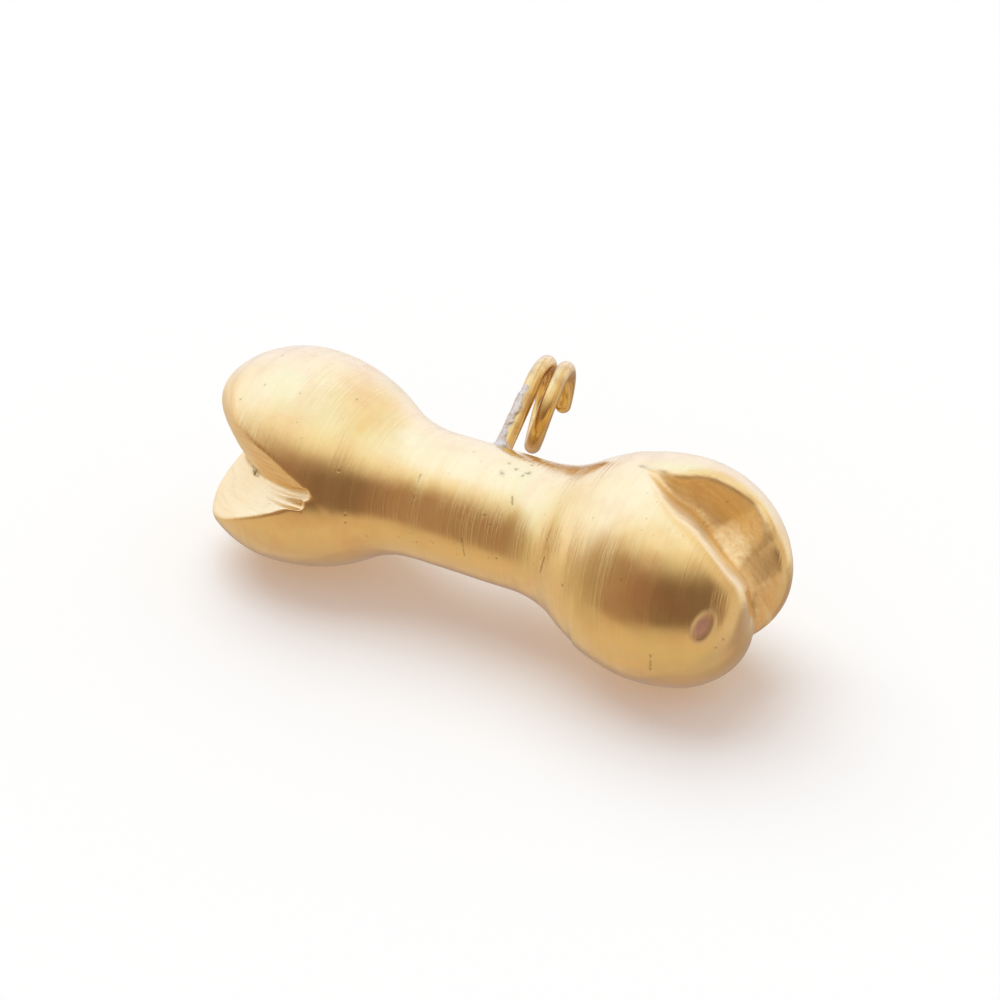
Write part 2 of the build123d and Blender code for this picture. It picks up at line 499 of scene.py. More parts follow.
def far_field(rows, notch):
    """The far wall, with the flatter strip along its foot."""
    far = wall_field(rows, notch["far"], 1)
    if notch["strip"]:
        far = -rounded_max(-far, -wall_field(rows, notch["strip"], 1), STRIP_BLEND)
    return far


def scoop_field(rows, scoop):
    """Depth of each place inside a round file's short stroke."""
    field = np.full(len(rows), -FAR_OFF)
    for start, end in zip(np.array(scoop), np.array(scoop)[1:]):
        run = end[:3] - start[:3]
        share = np.clip((rows - start[:3]) @ run / (run @ run), 0, 1)
        radius = start[3] + (end[3] - start[3]) * share
        off = np.linalg.norm(rows - start[:3] - share[:, None] * run, axis=1)
        field = np.maximum(field, radius - off)
    return field


def notched(blank, rows, notch):
    """The blank's field with one notch filed into it."""
    along = rows[:, 0]
    near = wall_field(rows, notch["near"], -1)
    far = far_field(rows, notch)
    near_lobe = rounded_max(blank, near, swing(notch["near"]["rub"], along))
    far_lobe = rounded_max(blank, far, swing(notch["far"]["rub"], along))
    if notch["lip"]:
        lip = (LIP_SHARES[0] * blank + LIP_SHARES[1] * far) + notch["lip"]
        far_lobe = np.maximum(rounded_max(far_lobe, lip, LIP_BLEND), far)
    lobes = -rounded_max(-near_lobe, -far_lobe, notch["floor_rub"])
    for scoop in notch["scoops"]:
        lobes = rounded_max(lobes, scoop_field(rows, scoop), SCOOP_BLEND)
    shown = ease(*NOTCH_FADE, along) * (along < STROKE_END * notch["floor_radius"])
    return blank + (lobes - blank) * shown


def filed_field(places):
    """Signed height above the finished bone: the lathe's form with both notches."""
    field = -depth_below_lathe(places)
    for notch, side in NOTCHES:
        here = np.flatnonzero(places[:, 0] * side > 0)
        field[here] = notched(field[here], stroke_rows(places[here], notch), notch)
    return field


def rub_to_form(piece, turns):
    """Moves the skin of both ends on to the finished form."""
    places = corners(piece)
    ends = np.flatnonzero(np.abs(places[:, 0]) > NECK_END)
    moved = places[ends]
    step, least_steep, longest_move = 0.01, 0.3, 0.2
    for _ in range(turns):
        height = filed_field(moved)
        slope = np.column_stack([
            filed_field(moved + aside) - filed_field(moved - aside) for aside in np.eye(3) * step
        ]) / (2 * step)
        steep = np.maximum((slope**2).sum(axis=1), least_steep)
        moved = moved - slope * (np.clip(height, -longest_move, longest_move) / steep)[:, None]
    places[ends] = moved
    set_corners(piece, places)


def cut_share(places):
    """1 where the file or the rubbing has taken metal, 0 on the turned surface."""
    return ease(*CUT_DEPTHS, depth_below_lathe(places)) * (np.abs(places[:, 0]) > NECK_END)


def filed_share(places):
    """1 on the raw filed walls, 0 on the turned surface and on rims that are rubbed smooth."""
    share = np.zeros(len(places))
    for notch, side in NOTCHES:
        here = np.flatnonzero(places[:, 0] * side > 0)
        rows = stroke_rows(places[here], notch)
        off_near = np.abs(wall_field(rows, notch["near"], -1))
        off_wall = np.minimum(off_near, np.abs(far_field(rows, notch)))
        share[here] = 1 - ease(*OFF_WALL, off_wall)
    return share * cut_share(places)


def refine(piece, chosen, wider=0):
    """Splits the faces round the chosen corners in four, and those of some rows round them."""
    pick(piece)
    bpy.ops.object.mode_set(mode="EDIT")
    bpy.ops.mesh.select_mode(type="VERT")
    bpy.ops.mesh.select_all(action="DESELECT")
    bpy.ops.object.mode_set(mode="OBJECT")
    piece.data.vertices.foreach_set("select", np.asarray(chosen, bool))
    bpy.ops.object.mode_set(mode="EDIT")
    for _ in range(wider):
        bpy.ops.mesh.select_more()
    bpy.ops.mesh.subdivide(number_cuts=1)
    bpy.ops.object.mode_set(mode="OBJECT")


def mark_lines():
    """Every pit and scratch as a short line: start, end and width."""
    lines = [(spot_place(x, clock), spot_place(x, clock), width) for x, clock, width in PITS]
    lines += [(spot_place(a, b), spot_place(c, d), width) for a, b, c, d, width in SCRATCHES]
    return lines


def near_marks(places, reach):
    """Which places lie near a pit, a scratch or the dent."""
    found = np.linalg.norm(places - spot_place(*DENT["spot"]), axis=1) < DENT["reach"]
    for start, end, width in mark_lines():
        found |= distance_to_line(places, start, end) < reach + width
    return found


def near_scoops(places):
    """Which places lie near a scoop in either notch."""
    reach = 0.2
    found = np.zeros(len(places), bool)
    for notch, side in NOTCHES:
        rows = stroke_rows(places, notch)
        for scoop in notch["scoops"]:
            found |= (scoop_field(rows, scoop) > -reach) & (places[:, 0] * side > 0)
    return found


def painted_shade_share(places):
    """1 along the painted shade lines in the notches, where dark colour stands in for shade."""
    share = np.zeros(len(places))
    for notch, side in NOTCHES:
        rows = stroke_rows(places, notch)
        for shade_line in notch["shade_lines"]:
            for start, end in zip(np.array(shade_line), np.array(shade_line)[1:]):
                off = distance_to_line(rows, start, end)
                dark = np.exp(-((off / SHADE_LINE_WIDTH) ** 2))
                share = np.maximum(share, dark * (places[:, 0] * side > 0))
    return share


def press_marks(piece):
    """Presses the dent, the pits and the scratches into the skin, and keeps where they are, with
    the painted shade lines in the notches.
    """
    places = corners(piece)
    inward = -directions(piece)
    worn_and_shade = np.zeros(len(places))
    for start, end, width in mark_lines():
        close = np.flatnonzero(distance_to_line(places, start, end) < 4 * width)
        ragged = np.maximum(0.9 + 0.9 * noise_rows(places[close], 7), 0.3)
        off = distance_to_line(places[close], start, end) / (width * ragged)
        worn_and_shade[close] = np.maximum(worn_and_shade[close], np.exp(-(off**2)))
    spot = spot_place(*DENT["spot"])
    turn = math.radians(DENT["spot"][1])
    around = np.array([0, -math.cos(turn), -math.sin(turn)])
    tilt = math.radians(DENT["tilt"])
    along = (places - spot) @ np.array([1.0, 0, 0])
    down = (places - spot) @ around
    wide = (along * math.cos(tilt) + down * math.sin(tilt)) / DENT["half_sizes"][0]
    high = (down * math.cos(tilt) - along * math.sin(tilt)) / DENT["half_sizes"][1]
    close = np.linalg.norm(places - spot, axis=1) < 2 * DENT["reach"]
    ring = np.where(close, np.hypot(wide, high), FAR_OFF)
    hollow = 1 - ease(*DENT["hollow"], ring)
    rim = np.exp(-(((ring - DENT["rim_at"]) / DENT["rim_width"]) ** 2))
    depth = MARK_DEPTH * worn_and_shade + DENT["depth"] * hollow - DENT["rim_height"] * rim
    set_corners(piece, places + inward * depth[:, None])
    # Wear marks, together with the painted shade lines in the notches
    keep_values(piece, "worn_and_shade", np.maximum(worn_and_shade, painted_shade_share(places)))
    # Where the dent's painted pinkish reflection and its rim's painted highlight go
    keep_values(piece, "dent", hollow)
    keep_values(piece, "dent_rim", rim)


def hand_finish(piece):
    """Leaves the buffed skin a little uneven, as work by hand does."""
    places = corners(piece)
    broad, small, small_share = 0.42, 1.1, 0.55
    swell = noise_rows(places, broad) + small_share * noise_rows(places, small, (7, 0, 0))
    swell *= 1 - cut_share(places)
    set_corners(piece, places + directions(piece) * (HAND_SWELL * swell)[:, None])


def file_grooves(piece):
    """Leaves the file's grooves in the walls, and keeps what their streaks and colours need."""
    places = corners(piece)
    filed = filed_share(places)
    stroke = np.zeros((len(places), 3))
    on_near = np.zeros(len(places))
    for notch, side in NOTCHES:
        here = places[:, 0] * side > 0
        rows = stroke_rows(places[here], notch)
        stroke[here] = rows
        off_near = np.abs(wall_field(rows, notch["near"], -1))
        on_near[here] = ease(-0.05, 0.05, np.abs(far_field(rows, notch)) - off_near)
    depth = np.zeros(len(places))
    cut = np.flatnonzero(filed > 0.02)
    depth[cut] = noise_rows(stroke[cut], BROAD_GROOVES)
    depth[cut] += 0.5 * noise_rows(stroke[cut], FINE_GROOVES, (0, 9, 0))
    set_corners(piece, places + directions(piece) * (depth * filed * GROOVE_DEPTH)[:, None])
    keep_values(piece, "filed", filed)
    # A paler fresh-cut colour, partly painted highlight, on the left notch's walls and mouth and on
    # the near right wall
    lower = filed * (1 - on_near)
    upper = FRESH_HIGHLIGHT_LEFT * cut_share(places) * ease(*FRESH_HIGHLIGHT_FROM, stroke[:, 0])
    near = FRESH_HIGHLIGHT_RIGHT * filed * on_near
    keep_values(piece, "fresh_and_highlight", np.where(places[:, 0] < 0, np.maximum(lower, upper), near))
    keep_vectors(piece, "stroke", stroke)


def make_bone():
    bone = turned_blank()
    cut_away(bone, notch_cutter("right_stroke", RIGHT_NOTCH))
    cut_away(bone, notch_cutter("left_stroke", LEFT_NOTCH))
    apply_modifier(bone, "first_skin", "REMESH", mode="VOXEL", voxel_size=FIRST_SKIN_SIZE)
    apply_modifier(bone, "tumbled", "SMOOTH", factor=0.5, iterations=3)
    rub_to_form(bone, turns=14)
    apply_modifier(bone, "even_skin", "REMESH", mode="VOXEL", voxel_size=SKIN_SIZE)
    apply_modifier(bone, "polished", "SMOOTH", factor=0.5, iterations=3)
    rub_to_form(bone, turns=4)
    refine(bone, cut_share(corners(bone)) > 0.3, wider=2)
    rub_to_form(bone, turns=3)
    refine(bone, near_scoops(corners(bone)))
    rub_to_form(bone, turns=3)
    refine(bone, near_marks(corners(bone), reach=0.25))
    refine(bone, near_marks(corners(bone), reach=0.08))
    file_grooves(bone)
    hand_finish(bone)
    press_marks(bone)
    return bone


# Wire eye


def eye_place():
    """Frame at the foot of the stem: Z up the stem, X along the pitch of the ring."""
    return (
        Matrix.Rotation(math.radians(-STEM_LEAN), 4, "X")
        @ Matrix.Translation((EYE_SHIFT, 0, SHAFT_RADIUS))
        @ Matrix.Rotation(math.radians(-STEM_BEND), 4, "X")
        @ Matrix.Rotation(math.radians(EYE_TWIST), 4, "Z")
    )


def eye_points():
    """Middle line of the wire, from the bottom of the stem to the cut end."""
    lead = math.atan2(EYE_PITCH / math.tau, EYE_RADIUS)
    pitch = Vector((math.cos(lead), 0, math.sin(lead)))
    rise = Vector((-math.sin(lead), 0, math.cos(lead)))
    back = Vector((0, 1, 0))
    stem_length = STEM_DEPTH + EYE_HEIGHT
    points = [Vector((0, 0, -STEM_DEPTH + stem_length * k / STEM_STEPS)) for k in range(STEM_STEPS)]
    for k in range(RING_STEPS + 1):
        turn = EYE_TURN * k / RING_STEPS
        angle = math.radians(turn)
        nearby = np.linspace(turn - EYE_EASE, turn + EYE_EASE, 17)
        across = float(np.mean(np.interp(nearby, *zip(*EYE_ACROSS)))) * min(turn / EYE_EASE, 1)
        points.append(
            Vector((0, 0, EYE_HEIGHT))
            + back * (EYE_RADIUS * (1 - math.cos(angle)))
            + rise * (EYE_RADIUS * math.sin(angle))
            + pitch * across
        )
    heading = (points[-1] - points[-2]).normalized()
    end = points[-1]
    for k in range(1, TIP_STEPS + 1):
        points.append(end + heading * WIRE_RADIUS * math.sin(math.radians(TIP_ANGLE * k)))
    return points


def make_eye():
    """The middle line drawn and turned into a round wire, closed at both ends, with a round tip."""
    points = eye_points()
    wire = trace("charm_eye", points)
    bpy.ops.object.mode_set(mode="OBJECT")
    pick(wire)
    bpy.ops.object.convert(target="CURVE")
    end = points[-1 - TIP_STEPS]
    heading = (points[-1] - end).normalized()
    for point in wire.data.splines[0].points:
        from_end = point.co.to_3d() - end
        past = from_end.dot(heading) / WIRE_RADIUS
        if 0 < past < 1 and from_end.length < 2 * WIRE_RADIUS:
            point.radius = math.sqrt(1 - past * past)
    wire.data.bevel_depth = WIRE_RADIUS
    wire.data.bevel_resolution = 8
    wire.data.use_fill_caps = True
    bpy.ops.object.convert(target="MESH")
    bpy.ops.object.mode_set(mode="EDIT")
    close_up()
    keep_strand(wire, points)
    wire.data.transform(eye_place())
    return wire


def keep_strand(wire, points):
    """Keeps each corner's millimetres along the wire and its turn round it, for the drawn lines."""
    line = np.array([tuple(point) for point in points])
    steps = np.linalg.norm(np.diff(line, axis=0), axis=1)
    along = np.concatenate([[0], np.cumsum(steps)])
    places = corners(wire)
    nearest = np.array([np.argmin(((line - place) ** 2).sum(axis=1)) for place in places])
    offset = places - line[nearest]
    turn = np.arctan2(offset[:, 1], offset[:, 0])
    keep_vectors(wire, "strand", np.column_stack([along[nearest], np.cos(turn), np.sin(turn)]))


# Solder


def make_solder():
    """A film that ran up one side of the stem, and spreads on the bone at its foot."""
    clear_selection()
    low, high = -SOLDER_SUNK, SOLDER_HEIGHT + SOLDER_SPARE
    middle = (0, 0, (low + high) / 2)
    bpy.ops.mesh.primitive_cylinder_add(
        vertices=SOLDER_SIDES, radius=WIRE_RADIUS, depth=high - low, location=middle
    )
    solder = bpy.context.object
    solder.name = "charm_solder"
    bpy.ops.object.transform_apply(location=True, rotation=True, scale=True)
    bpy.ops.object.mode_set(mode="EDIT")
    for k in range(1, SOLDER_RINGS):
        bpy.ops.mesh.select_all(action="SELECT")
        height = low + (high - low) * (k / SOLDER_RINGS) ** SOLDER_CROWDING
        bpy.ops.mesh.bisect(plane_co=(0, 0, height), plane_no=(0, 0, 1))
    bpy.ops.object.mode_set(mode="OBJECT")
    places = corners(solder)
    out = np.hypot(places[:, 0], places[:, 1])
    turn = np.degrees(np.arctan2(places[:, 1], places[:, 0]))
    up = places[:, 2]
    rough = noise_rows(places, (2.6, 2.6, 1.7), (0, 0, 3))
    fine = noise_rows(places, (7, 7, 6))
    away = np.abs((turn - SOLDER_MIDDLE + 180) % 360 - 180)
    reach = swing(SOLDER_REACH, up) + SOLDER_RAGGED[0] * rough + SOLDER_RAGGED[1] * fine
    film = SOLDER_FILM + SOLDER_LUMPS[0] * rough + SOLDER_LUMPS[1] * fine
    film *= ease(0, SOLDER_EDGE, reach - away)
    film *= ease(SOLDER_HEIGHT + 0.05 * rough, SOLDER_HEIGHT - SOLDER_TAPER, up)
    film = np.maximum(film - SOLDER_UNDER * ease(0, SOLDER_EDGE, away - reach), -SOLDER_UNDER)
    foot = np.exp(-np.maximum(up, 0) / SOLDER_FOOT)
    front = ease(150, 40, away)
    spread = SOLDER_SPREAD * (SOLDER_BACK + (1 - SOLDER_BACK) * front) * (1 + 0.5 * rough)
    thick = film + spread * foot
    on_side = out > WIRE_RADIUS * 0.99
    cap_scale = 0.9
    scale = np.where(on_side, (WIRE_RADIUS + thick) / WIRE_RADIUS, cap_scale)
    places[:, 0] *= scale
    places[:, 1] *= scale
    set_corners(solder, places)
    solder.data.transform(eye_place())
    return solder


# Materials, with their colours as red, green, blue and alpha. A pair is for the two ends of a
# pattern. Patterns that run one way have a scale along and two across, per millimetre.
BRASS = ((0.835, 0.605, 0.26, 1), (0.86, 0.63, 0.275, 1))
BRASS_TARNISH = (0.78, 0.48, 0.20, 1)
BRASS_GREEN = (0.78, 0.62, 0.25, 1)
BRASS_FILED = ((0.88, 0.60, 0.25, 1), (0.97, 0.73, 0.36, 1))
# Paler fresh-cut brass, partly a painted highlight
BRASS_FRESH_HIGHLIGHT = (0.97, 0.78, 0.42, 1)
BRASS_SPECKS = (0.40, 0.25, 0.10, 1)
# Dark colour of the pits and scratches, also used as painted shade along lines in the notches
BRASS_WORN_AND_SHADE = (0.26, 0.18, 0.09, 1)
# Painted highlight on the dent's rim
DENT_RIM_HIGHLIGHT = (0.95, 0.76, 0.44, 1)
# Painted pinkish reflection in the dent's hollow
DENT_HOLLOW_REFLECTION = (0.72, 0.44, 0.36, 1)
WIRE = ((0.66, 0.40, 0.13, 1), (0.87, 0.63, 0.24, 1))
WIRE_TARNISH = (0.54, 0.31, 0.11, 1)
WIRE_SPECKS = (0.22, 0.15, 0.09, 1)
SOLDER = ((0.70, 0.58, 0.41, 1), (0.54, 0.43, 0.29, 1))
SOLDER_SPECKS = (0.16, 0.11, 0.09, 1)
LINES_SCALE = (6, 0.8, 0.8)
BANDS_SCALE = (1.1, 0.8, 0.8)
STREAKS_SCALE = (0.45, 6, 6)
GRAIN_SCALE = (3, 12, 12)
DRAWN_SCALE = (0.35, 5, 5)
WORN_ROUGHNESS = 0.5
BRASS_BUMP = 0.00002
WIRE_BUMP = 0.00001
SOLDER_BUMP = 0.00003


def feed(tree, made, sockets):
    """Sets or links a node's inputs."""
    for key, value in sockets.items():
        if isinstance(value, bpy.types.NodeSocket):
            tree.links.new(value, made.inputs[key])
        else:
            made.inputs[key].default_value = value


def add_node(tree, kind, sockets=None, **settings):
    """Adds a node with its settings and its inputs."""
    made = tree.nodes.new("ShaderNode" + kind)
    for key, value in settings.items():
        setattr(made, key, value)
    feed(tree, made, sockets or {})
    return made


def calc(tree, operation, *values):
    sockets = dict(enumerate(values))
    return add_node(tree, "Math", sockets, operation=operation).outputs[0]


def remap(tree, value, low, high, to_low=0.0, to_high=1.0):
    """Eases a value from one range into another."""
    sockets = {"Value": value, "From Min": low, "From Max": high}
    sockets.update({"To Min": to_low, "To Max": to_high})
    return add_node(tree, "MapRange", sockets, interpolation_type="SMOOTHSTEP").outputs["Result"]


def blend(tree, share, first, second):
    """Mixes two colours by a share."""
    sockets = {0: share, 6: first, 7: second}
    return add_node(tree, "Mix", sockets, data_type="RGBA").outputs[2]


def tint(tree, share, strength, colour, other):
    """Mixes a colour towards another by a share at a strength."""
    return blend(tree, calc(tree, "MULTIPLY", share, strength), colour, other)


def blend_values(tree, share, first, second):
    return add_node(tree, "Mix", {0: share, 2: first, 3: second}, data_type="FLOAT").outputs[0]


def noise_at(tree, place, scale=1.0, detail=3.0, roughness=0.6):
    sockets = {"Vector": place, "Scale": scale, "Detail": detail, "Roughness": roughness}
    return add_node(tree, "TexNoise", sockets).outputs["Fac"]


def stretched(tree, place, scale):
    return add_node(tree, "Mapping", {"Vector": place, "Scale": scale}).outputs["Vector"]


def new_group(name, inputs, outputs):
    """A shader node group with named sockets; returns its tree and its inner ends."""
    tree = bpy.data.node_groups.new(name, "ShaderNodeTree")
    for socket, kind in inputs:
        tree.interface.new_socket(socket, in_out="INPUT", socket_type=kind)
    for socket in outputs:
        tree.interface.new_socket(socket, in_out="OUTPUT", socket_type="NodeSocketFloat")
    return tree, tree.nodes.new("NodeGroupInput"), tree.nodes.new("NodeGroupOutput")


def use_group(tree, group, sockets):
    made = tree.nodes.new("ShaderNodeGroup")
    made.node_tree = group
    feed(tree, made, sockets)
    return made.outputs


def turned_lines_group():
    """Fine lines round the bone's axis from the lathe and the buff, and broad uneven bands."""
    inputs = [("Place", "NodeSocketVector")]
    tree, given, made = new_group("turned_lines", inputs, ["Lines", "Bands"])
    parts = add_node(tree, "SeparateXYZ", {0: given.outputs["Place"]}).outputs
    turn = calc(tree, "ARCTAN2", parts["Y"], parts["Z"])
    ring = [calc(tree, "SINE", turn), calc(tree, "COSINE", turn)]
    place = add_node(tree, "CombineXYZ", {0: parts["X"], 1: ring[0], 2: ring[1]}).outputs[0]
    lines = noise_at(tree, stretched(tree, place, LINES_SCALE), detail=4.0, roughness=0.7)
    bands = noise_at(tree, stretched(tree, place, BANDS_SCALE))
    tree.links.new(remap(tree, lines, 0.32, 0.68), made.inputs["Lines"])
    tree.links.new(remap(tree, bands, 0.35, 0.65), made.inputs["Bands"])
    return tree


def file_streaks_group():
    """Streaks that a file leaves along its stroke, and the grain between them."""
    inputs = [("Stroke", "NodeSocketVector")]
    tree, given, made = new_group("file_streaks", inputs, ["Streaks", "Grain"])
    stroke = given.outputs["Stroke"]
    streaks = noise_at(tree, stretched(tree, stroke, STREAKS_SCALE), detail=4.0, roughness=0.65)
    grain = noise_at(tree, stretched(tree, stroke, GRAIN_SCALE))
    tree.links.new(remap(tree, streaks, 0.32, 0.68), made.inputs["Streaks"])
    tree.links.new(remap(tree, grain, 0.35, 0.7), made.inputs["Grain"])
    return tree


def tarnish_group():
    """Cloudy tarnish and small dark specks."""
    inputs = [("Place", "NodeSocketVector"), ("Scale", "NodeSocketFloat")]
    tree, given, made = new_group("tarnish", inputs, ["Clouds", "Specks"])
    clouds = noise_at(tree, given.outputs["Place"], given.outputs["Scale"], detail=5.0)
    times_finer = 7.0
    small = calc(tree, "MULTIPLY", given.outputs["Scale"], times_finer)
    specks = noise_at(tree, given.outputs["Place"], small, detail=2.0, roughness=0.5)
    tree.links.new(remap(tree, clouds, 0.42, 0.72), made.inputs["Clouds"])
    tree.links.new(remap(tree, specks, 0.70, 0.80), made.inputs["Specks"])
    return tree


def metal(name):
    """A metal material; returns it, its tree, its shader and the place in bench millimetres."""
    material = bpy.data.materials.new(name)
    material.use_nodes = True
    tree = material.node_tree
    shader = tree.nodes["Principled BSDF"]
    shader.inputs["Metallic"].default_value = 1
    coords = add_node(tree, "TexCoord").outputs["Object"]
    middle = tuple(-BONE_MIDDLE / MILLIMETRE)
    scale = (1 / MILLIMETRE,) * 3
    sockets = {"Vector": coords, "Location": middle, "Scale": scale}
    return material, tree, shader, add_node(tree, "Mapping", sockets).outputs[0]


def attribute(tree, name, output="Fac"):
    return add_node(tree, "Attribute", attribute_name=name).outputs[output]


def bump(tree, height, strength, distance, normal=None):
    sockets = {"Height": height, "Strength": strength, "Distance": distance}
    if normal:
        sockets["Normal"] = normal
    return add_node(tree, "Bump", sockets).outputs["Normal"]


def finish_metal(tree, shader, colour, roughness, normal):
    tree.links.new(colour, shader.inputs["Base Color"])
    tree.links.new(roughness, shader.inputs["Roughness"])
    tree.links.new(normal, shader.inputs["Normal"])


def bone_metal(groups):
    material, tree, shader, place = metal("satin_brass")
    lines = use_group(tree, groups["turned_lines"], {"Place": place})
    file = use_group(tree, groups["file_streaks"], {"Stroke": attribute(tree, "stroke", "Vector")})
    tarnish = use_group(tree, groups["tarnish"], {"Place": place, "Scale": 0.5})
    kept = ("filed", "fresh_and_highlight", "worn_and_shade", "dent", "dent_rim")
    filed, fresh_and_highlight, worn_and_shade, dent, dent_rim = (attribute(tree, name) for name in kept)
    colour = blend(tree, lines["Lines"], *BRASS)
    colour = tint(tree, tarnish["Clouds"], 0.5, colour, BRASS_TARNISH)
    green = remap(tree, noise_at(tree, place, 0.3, detail=4.0), 0.45, 0.65, 0.0, 0.5)
    colour = blend(tree, green, colour, BRASS_GREEN)
    colour = blend(tree, filed, colour, blend(tree, file["Streaks"], *BRASS_FILED))
    # Paler fresh-cut colour, partly painted highlight on the notch walls
    colour = blend(tree, fresh_and_highlight, colour, BRASS_FRESH_HIGHLIGHT)
    colour = tint(tree, tarnish["Specks"], 0.5, colour, BRASS_SPECKS)
    # Darker on pits and scratches, and painted shade along lines in the notches
    colour = tint(tree, worn_and_shade, 0.6, colour, BRASS_WORN_AND_SHADE)
    # Painted highlight on the dent's rim, and a painted pinkish reflection in its hollow
    colour = tint(tree, dent_rim, 0.45, colour, DENT_RIM_HIGHLIGHT)
    colour = tint(tree, dent, 0.85, colour, DENT_HOLLOW_REFLECTION)
    smooth = calc(tree, "MULTIPLY_ADD", lines["Bands"], 0.05, 0.17)
    smooth = calc(tree, "MULTIPLY_ADD", lines["Lines"], 0.04, smooth)
    coarse = calc(tree, "MULTIPLY_ADD", file["Grain"], 0.07, 0.48)
    roughness = blend_values(tree, calc(tree, "MAXIMUM", filed, fresh_and_highlight), smooth, coarse)
    rubbed = calc(tree, "MAXIMUM", worn_and_shade, calc(tree, "MAXIMUM", dent, dent_rim))
    roughness = blend_values(tree, rubbed, roughness, WORN_ROUGHNESS)
    normal = bump(tree, calc(tree, "MULTIPLY", lines["Lines"], lines["Bands"]), 0.6, BRASS_BUMP)
    height = calc(tree, "MULTIPLY", calc(tree, "ADD", file["Streaks"], file["Grain"]), filed)
    normal = bump(tree, height, 0.14, BRASS_BUMP, normal)
    finish_metal(tree, shader, colour, roughness, normal)
    tree.links.new(remap(tree, filed, 0.0, 1.0, 1.0, 0.9), shader.inputs["Metallic"])
    return material


def wire_metal(groups):
    material, tree, shader, place = metal("wire_brass")
    strand = attribute(tree, "strand", "Vector")
    drawn = noise_at(tree, stretched(tree, strand, DRAWN_SCALE))
    drawn = remap(tree, drawn, 0.32, 0.68)
    tarnish = use_group(tree, groups["tarnish"], {"Place": place, "Scale": 1.1})
    colour = blend(tree, drawn, *WIRE)
    colour = tint(tree, tarnish["Clouds"], 0.65, colour, WIRE_TARNISH)
    colour = tint(tree, tarnish["Specks"], 0.6, colour, WIRE_SPECKS)
    roughness = calc(tree, "MULTIPLY_ADD", drawn, 0.08, 0.2)
    roughness = calc(tree, "MULTIPLY_ADD", tarnish["Clouds"], 0.12, roughness)
    finish_metal(tree, shader, colour, roughness, bump(tree, drawn, 0.2, WIRE_BUMP))
    return material


def solder_metal(groups):
    material, tree, shader, place = metal("silver_solder")
    tarnish = use_group(tree, groups["tarnish"], {"Place": place, "Scale": 2.0})
    skin = noise_at(tree, place, 6.0, detail=4.0)
    colour = blend(tree, tarnish["Clouds"], *SOLDER)
    colour = tint(tree, tarnish["Specks"], 0.9, colour, SOLDER_SPECKS)
    roughness = remap(tree, skin, 0.3, 0.7, 0.38, 0.55)
    finish_metal(tree, shader, colour, roughness, bump(tree, skin, 0.4, SOLDER_BUMP))
    return material


# Stage. The floor's glow keeps its shadows warm.
FLOOR_SIZE = 1.2
FLOOR_PAPER = (0.70, 0.84, 0.89, 1)
FLOOR_GLOW = (0.30, 0.16, 0.11, 1)

# The room that the metal sees, as colours at degrees of elevation at its sides and
# behind the charm, and at degrees of turn from the viewer across its dark front
ROOM_SIDES = [
    (-82, (0.74, 0.59, 0.49)), (-52, (0.82, 0.66, 0.51)), (-37, (0.78, 0.62, 0.48)),
    (-22, (0.62, 0.49, 0.39)), (-7, (0.53, 0.41, 0.31)), (7, (0.55, 0.41, 0.32)),
    (22, (0.70, 0.57, 0.48)), (37, (0.92, 0.84, 0.78)), (52, (1.14, 1.17, 1.3)),
    (67, (1.17, 1.3, 1.7)), (82, (1.15, 1.35, 1.9)),
]
ROOM_RIGHT = [
    (-82, (0.69, 0.57, 0.52)), (-60, (0.68, 0.56, 0.50)), (-37, (0.80, 0.70, 0.66)),
    (-7, (0.80, 0.68, 0.60)), (7, (0.76, 0.62, 0.53)), (22, (0.82, 0.68, 0.60)),
    (37, (0.96, 0.88, 0.82)), (52, (1.10, 1.08, 1.10)), (67, (1.13, 1.14, 1.22)),
    (82, (1.15, 1.35, 1.9)),
]
ROOM_BEHIND = [
    (-82, (0.62, 0.49, 0.44)), (-60, (0.54, 0.42, 0.38)), (-40, (0.46, 0.36, 0.33)),
    (-31, (0.50, 0.42, 0.38)), (-22, (0.94, 0.92, 0.92)), (-10, (1.05, 1.10, 1.3)),
    (0, (1.12, 1.22, 1.6)), (10, (1.17, 1.34, 2.0)), (24, (1.2, 1.42, 2.3)),
    (40, (1.2, 1.44, 2.35)), (55, (1.22, 1.55, 2.7)), (67, (1.22, 1.55, 2.6)),
    (82, (1.15, 1.35, 1.9)),
]
ROOM_BEHIND_LEFT = [
    (-82, (0.68, 0.55, 0.50)), (-52, (0.80, 0.67, 0.57)), (-22, (0.82, 0.69, 0.59)),
    (-7, (0.92, 0.81, 0.74)), (7, (1.1, 1.1, 1.25)), (22, (1.18, 1.34, 1.9)),
    (37, (1.2, 1.45, 2.3)), (52, (1.22, 1.5, 2.5)), (67, (1.22, 1.52, 2.5)),
    (82, (1.15, 1.35, 1.9)),
]
ROOM_BEHIND_RIGHT = [
    (-82, (0.62, 0.49, 0.44)), (-60, (0.54, 0.42, 0.38)), (-40, (0.50, 0.40, 0.37)),
    (-31, (0.55, 0.46, 0.42)), (-22, (0.94, 0.92, 0.92)), (-8, (1.07, 1.14, 1.5)),
    (7, (1.12, 1.24, 1.9)), (22, (1.12, 1.19, 1.62)), (37, (1.12, 1.15, 1.40)),
    (67, (1.12, 1.15, 1.32)), (82, (1.15, 1.35, 1.9)),
]
ROOM_FRONT = [
    (-75, (0.50, 0.36, 0.28)), (-45, (0.42, 0.255, 0.205)), (-15, (0.27, 0.175, 0.135)),
    (15, (0.255, 0.17, 0.135)), (45, (0.27, 0.18, 0.15)),
]

